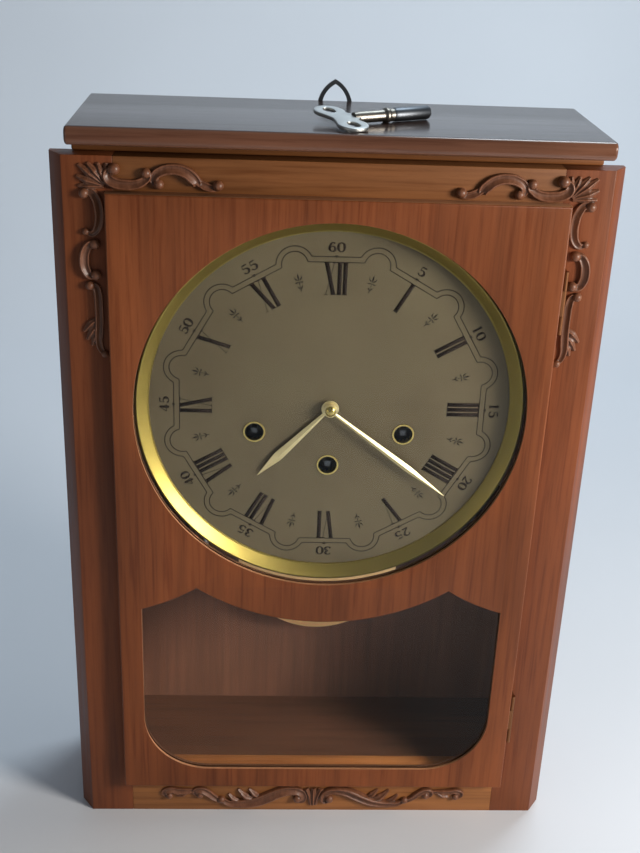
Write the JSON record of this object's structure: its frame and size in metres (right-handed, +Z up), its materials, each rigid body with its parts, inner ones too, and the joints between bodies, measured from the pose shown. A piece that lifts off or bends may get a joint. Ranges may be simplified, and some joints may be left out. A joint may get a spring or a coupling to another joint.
{
  "type": "wall clock",
  "caption": "Wooden wall clock with a glazed door, round dial, carved corners, a winding movement and a short pendulum behind a shaped window.",
  "frame": {"origin": "under the middle of the clock's overall box, on the surface that the case stands on", "axes": "+X to the right seen from the front, +Y from the dial to the wall, +Z up"},
  "size_m": [0.34, 0.1138, 0.5125],
  "materials": {
    "case_wood": "satin stained mahogany",
    "back_wood": "plain plywood",
    "cap_wood": "gloss stained mahogany",
    "carved_wood": "satin stained and carved",
    "door_wood": "satin ribbon-stripe mahogany",
    "clear_glass": "polished clear",
    "dial_gold": "satin champagne gold with dark print",
    "dial_ink": "matt printed ink",
    "polished_brass": "polished",
    "movement_brass": "brushed",
    "steel": "plain",
    "hinge_brass": "aged",
    "hanger_steel": "dull zinc",
    "iron": "black",
    "nickel": "polished nickel plate"
  },
  "bodies": {
    "case": {"left_side_panel": "case_wood", "right_side_panel": "case_wood", "case_top_board": "case_wood", "case_bottom_board": "case_wood", "back_board": "back_wood", "left_stile": "case_wood", "right_stile": "case_wood", "top_rail": "case_wood", "bottom_rail": "case_wood", "neck_moulding": "case_wood", "cap_board": "cap_wood", "hanger_loop": "hanger_steel", "fixing_screws": "steel", "seat_board": "case_wood", "top_left_carving": "carved_wood", "top_right_carving": "carved_wood", "bottom_carving": "carved_wood", "door_catch_clip": "movement_brass", "case_hinge_leaves": "hinge_brass", "hinge_pins": "steel", "dial_plate": "dial_gold", "dial_ring": "polished_brass", "winding_grommets": "polished_brass", "front_plate": "movement_brass", "back_plate": "movement_brass", "plate_pillars": "movement_brass", "suspension_cock": "movement_brass", "gong_block": "iron", "gong_rods": "steel"},
    "door": {"door_panel": "door_wood", "dial_glass": "clear_glass", "pendulum_glass": "clear_glass", "glass_beads": "door_wood", "door_hinge_leaves": "hinge_brass", "door_catch_stud": "movement_brass"},
    "minute": {"minute_hand": "polished_brass", "hand_nut": "polished_brass", "cannon_pinion": "movement_brass"},
    "hour": {"hour_hand": "polished_brass", "hour_wheel": "movement_brass"},
    "pendulum": {"pendulum_rod": "steel", "pendulum_bob": "polished_brass"},
    "minute_wheel": {"minute_wheel": "movement_brass"},
    "centre_wheel": {"centre_wheel": "movement_brass"},
    "third_wheel": {"third_wheel": "movement_brass"},
    "escape_wheel": {"escape_wheel": "movement_brass"},
    "pallet_anchor": {"pallet_anchor": "steel"},
    "rating_nut": {"rating_nut": "polished_brass"},
    "time_barrel": {"time_barrel": "movement_brass"},
    "strike_barrel": {"strike_barrel": "movement_brass"},
    "chime_barrel": {"chime_barrel": "movement_brass"},
    "time_winding_arbor": {"time_winding_arbor": "steel"},
    "strike_winding_arbor": {"strike_winding_arbor": "steel"},
    "chime_winding_arbor": {"chime_winding_arbor": "steel"},
    "time_click": {"time_click": "steel"},
    "strike_click": {"strike_click": "steel"},
    "chime_click": {"chime_click": "steel"},
    "strike_hammer": {"strike_hammer": "iron"},
    "chime_hammer": {"chime_hammer": "iron"},
    "winding_key": {"winding_key": "nickel"}
  },
  "joints": [
    {"name": "door_hinge", "type": "hinge", "parent": "case", "child": "door", "pos_m": [0.138, -0.0484, 0.24465], "axis": [0, 0, 1], "range_deg": [0, 110]},
    {"name": "minute_turn", "type": "hinge", "parent": "case", "child": "minute", "pos_m": [0, -0.0425, 0.3234], "axis": [0, 1, 0], "continuous": true},
    {"name": "hour_turn", "type": "hinge", "parent": "case", "child": "hour", "pos_m": [0, -0.0345, 0.3234], "axis": [0, 1, 0], "continuous": true},
    {"name": "minute_wheel_turn", "type": "hinge", "parent": "case", "child": "minute_wheel", "pos_m": [0.01273, -0.0275, 0.33613], "axis": [0, 1, 0], "continuous": true},
    {"name": "third_turn", "type": "hinge", "parent": "case", "child": "third_wheel", "pos_m": [0.01984, -0.0045, 0.3459], "axis": [0, 1, 0], "continuous": true},
    {"name": "centre_turn", "type": "hinge", "parent": "case", "child": "centre_wheel", "pos_m": [0, 0.0105, 0.3234], "axis": [0, 1, 0], "continuous": true},
    {"name": "escape_turn", "type": "hinge", "parent": "case", "child": "escape_wheel", "pos_m": [0, -0.0125, 0.3594], "axis": [0, 1, 0], "continuous": true},
    {"name": "strike_barrel_turn", "type": "hinge", "parent": "case", "child": "strike_barrel", "pos_m": [-0.0479, -0.0095, 0.3054], "axis": [0, 1, 0], "continuous": true},
    {"name": "time_barrel_turn", "type": "hinge", "parent": "case", "child": "time_barrel", "pos_m": [0, -0.0095, 0.2827], "axis": [0, 1, 0], "continuous": true},
    {"name": "chime_barrel_turn", "type": "hinge", "parent": "case", "child": "chime_barrel", "pos_m": [0.0479, -0.0095, 0.3054], "axis": [0, 1, 0], "continuous": true},
    {"name": "strike_winding", "type": "hinge", "parent": "case", "child": "strike_winding_arbor", "pos_m": [-0.0479, -0.0245, 0.3054], "axis": [0, 1, 0], "continuous": true},
    {"name": "time_winding", "type": "hinge", "parent": "case", "child": "time_winding_arbor", "pos_m": [0, -0.0245, 0.2827], "axis": [0, 1, 0], "continuous": true},
    {"name": "chime_winding", "type": "hinge", "parent": "case", "child": "chime_winding_arbor", "pos_m": [0.0479, -0.0245, 0.3054], "axis": [0, 1, 0], "continuous": true},
    {"name": "strike_click_lift", "type": "hinge", "parent": "case", "child": "strike_click", "pos_m": [-0.0399, -0.0245, 0.31926], "axis": [0, 1, 0], "range_deg": [0, 15]},
    {"name": "time_click_lift", "type": "hinge", "parent": "case", "child": "time_click", "pos_m": [-0.01503, -0.0245, 0.27723], "axis": [0, 1, 0], "range_deg": [0, 15]},
    {"name": "chime_click_lift", "type": "hinge", "parent": "case", "child": "chime_click", "pos_m": [0.0559, -0.0245, 0.31926], "axis": [0, 1, 0], "range_deg": [0, 15]},
    {"name": "pendulum_swing", "type": "hinge", "parent": "case", "child": "pendulum", "pos_m": [0, 0.029, 0.3814], "axis": [0, 1, 0], "range_deg": [-3.5, 3.5]},
    {"name": "anchor_rock", "type": "hinge", "parent": "case", "child": "pallet_anchor", "pos_m": [0, -0.0125, 0.3814], "axis": [0, 1, 0], "range_deg": [-3.5, 3.5]},
    {"name": "rating_nut_turn", "type": "hinge", "parent": "pendulum", "child": "rating_nut", "pos_m": [0, 0.029, 0.1469], "axis": [0, 0, 1], "continuous": true},
    {"name": "chime_hammer_lift", "type": "hinge", "parent": "case", "child": "chime_hammer", "pos_m": [-0.0722, 0.025, 0.2984], "axis": [0, -1, 0], "range_deg": [0, 18]},
    {"name": "strike_hammer_lift", "type": "hinge", "parent": "case", "child": "strike_hammer", "pos_m": [-0.0722, 0.037, 0.2984], "axis": [0, -1, 0], "range_deg": [0, 18]},
    {"name": "key_lift", "type": "slide", "parent": "case", "child": "winding_key", "axis": [0, 0, 1], "range_m": [0, 0.06]}
  ],
  "couplings": [
    {"joint": "hour_turn", "follows": "minute_turn", "ratio": 0.083333},
    {"joint": "minute_wheel_turn", "follows": "minute_turn", "ratio": -0.33333},
    {"joint": "centre_turn", "follows": "third_turn", "ratio": -0.125},
    {"joint": "time_barrel_turn", "follows": "third_turn", "ratio": 0.020833},
    {"joint": "escape_turn", "follows": "third_turn", "ratio": -7},
    {"joint": "anchor_rock", "follows": "pendulum_swing", "ratio": 1}
  ]
}
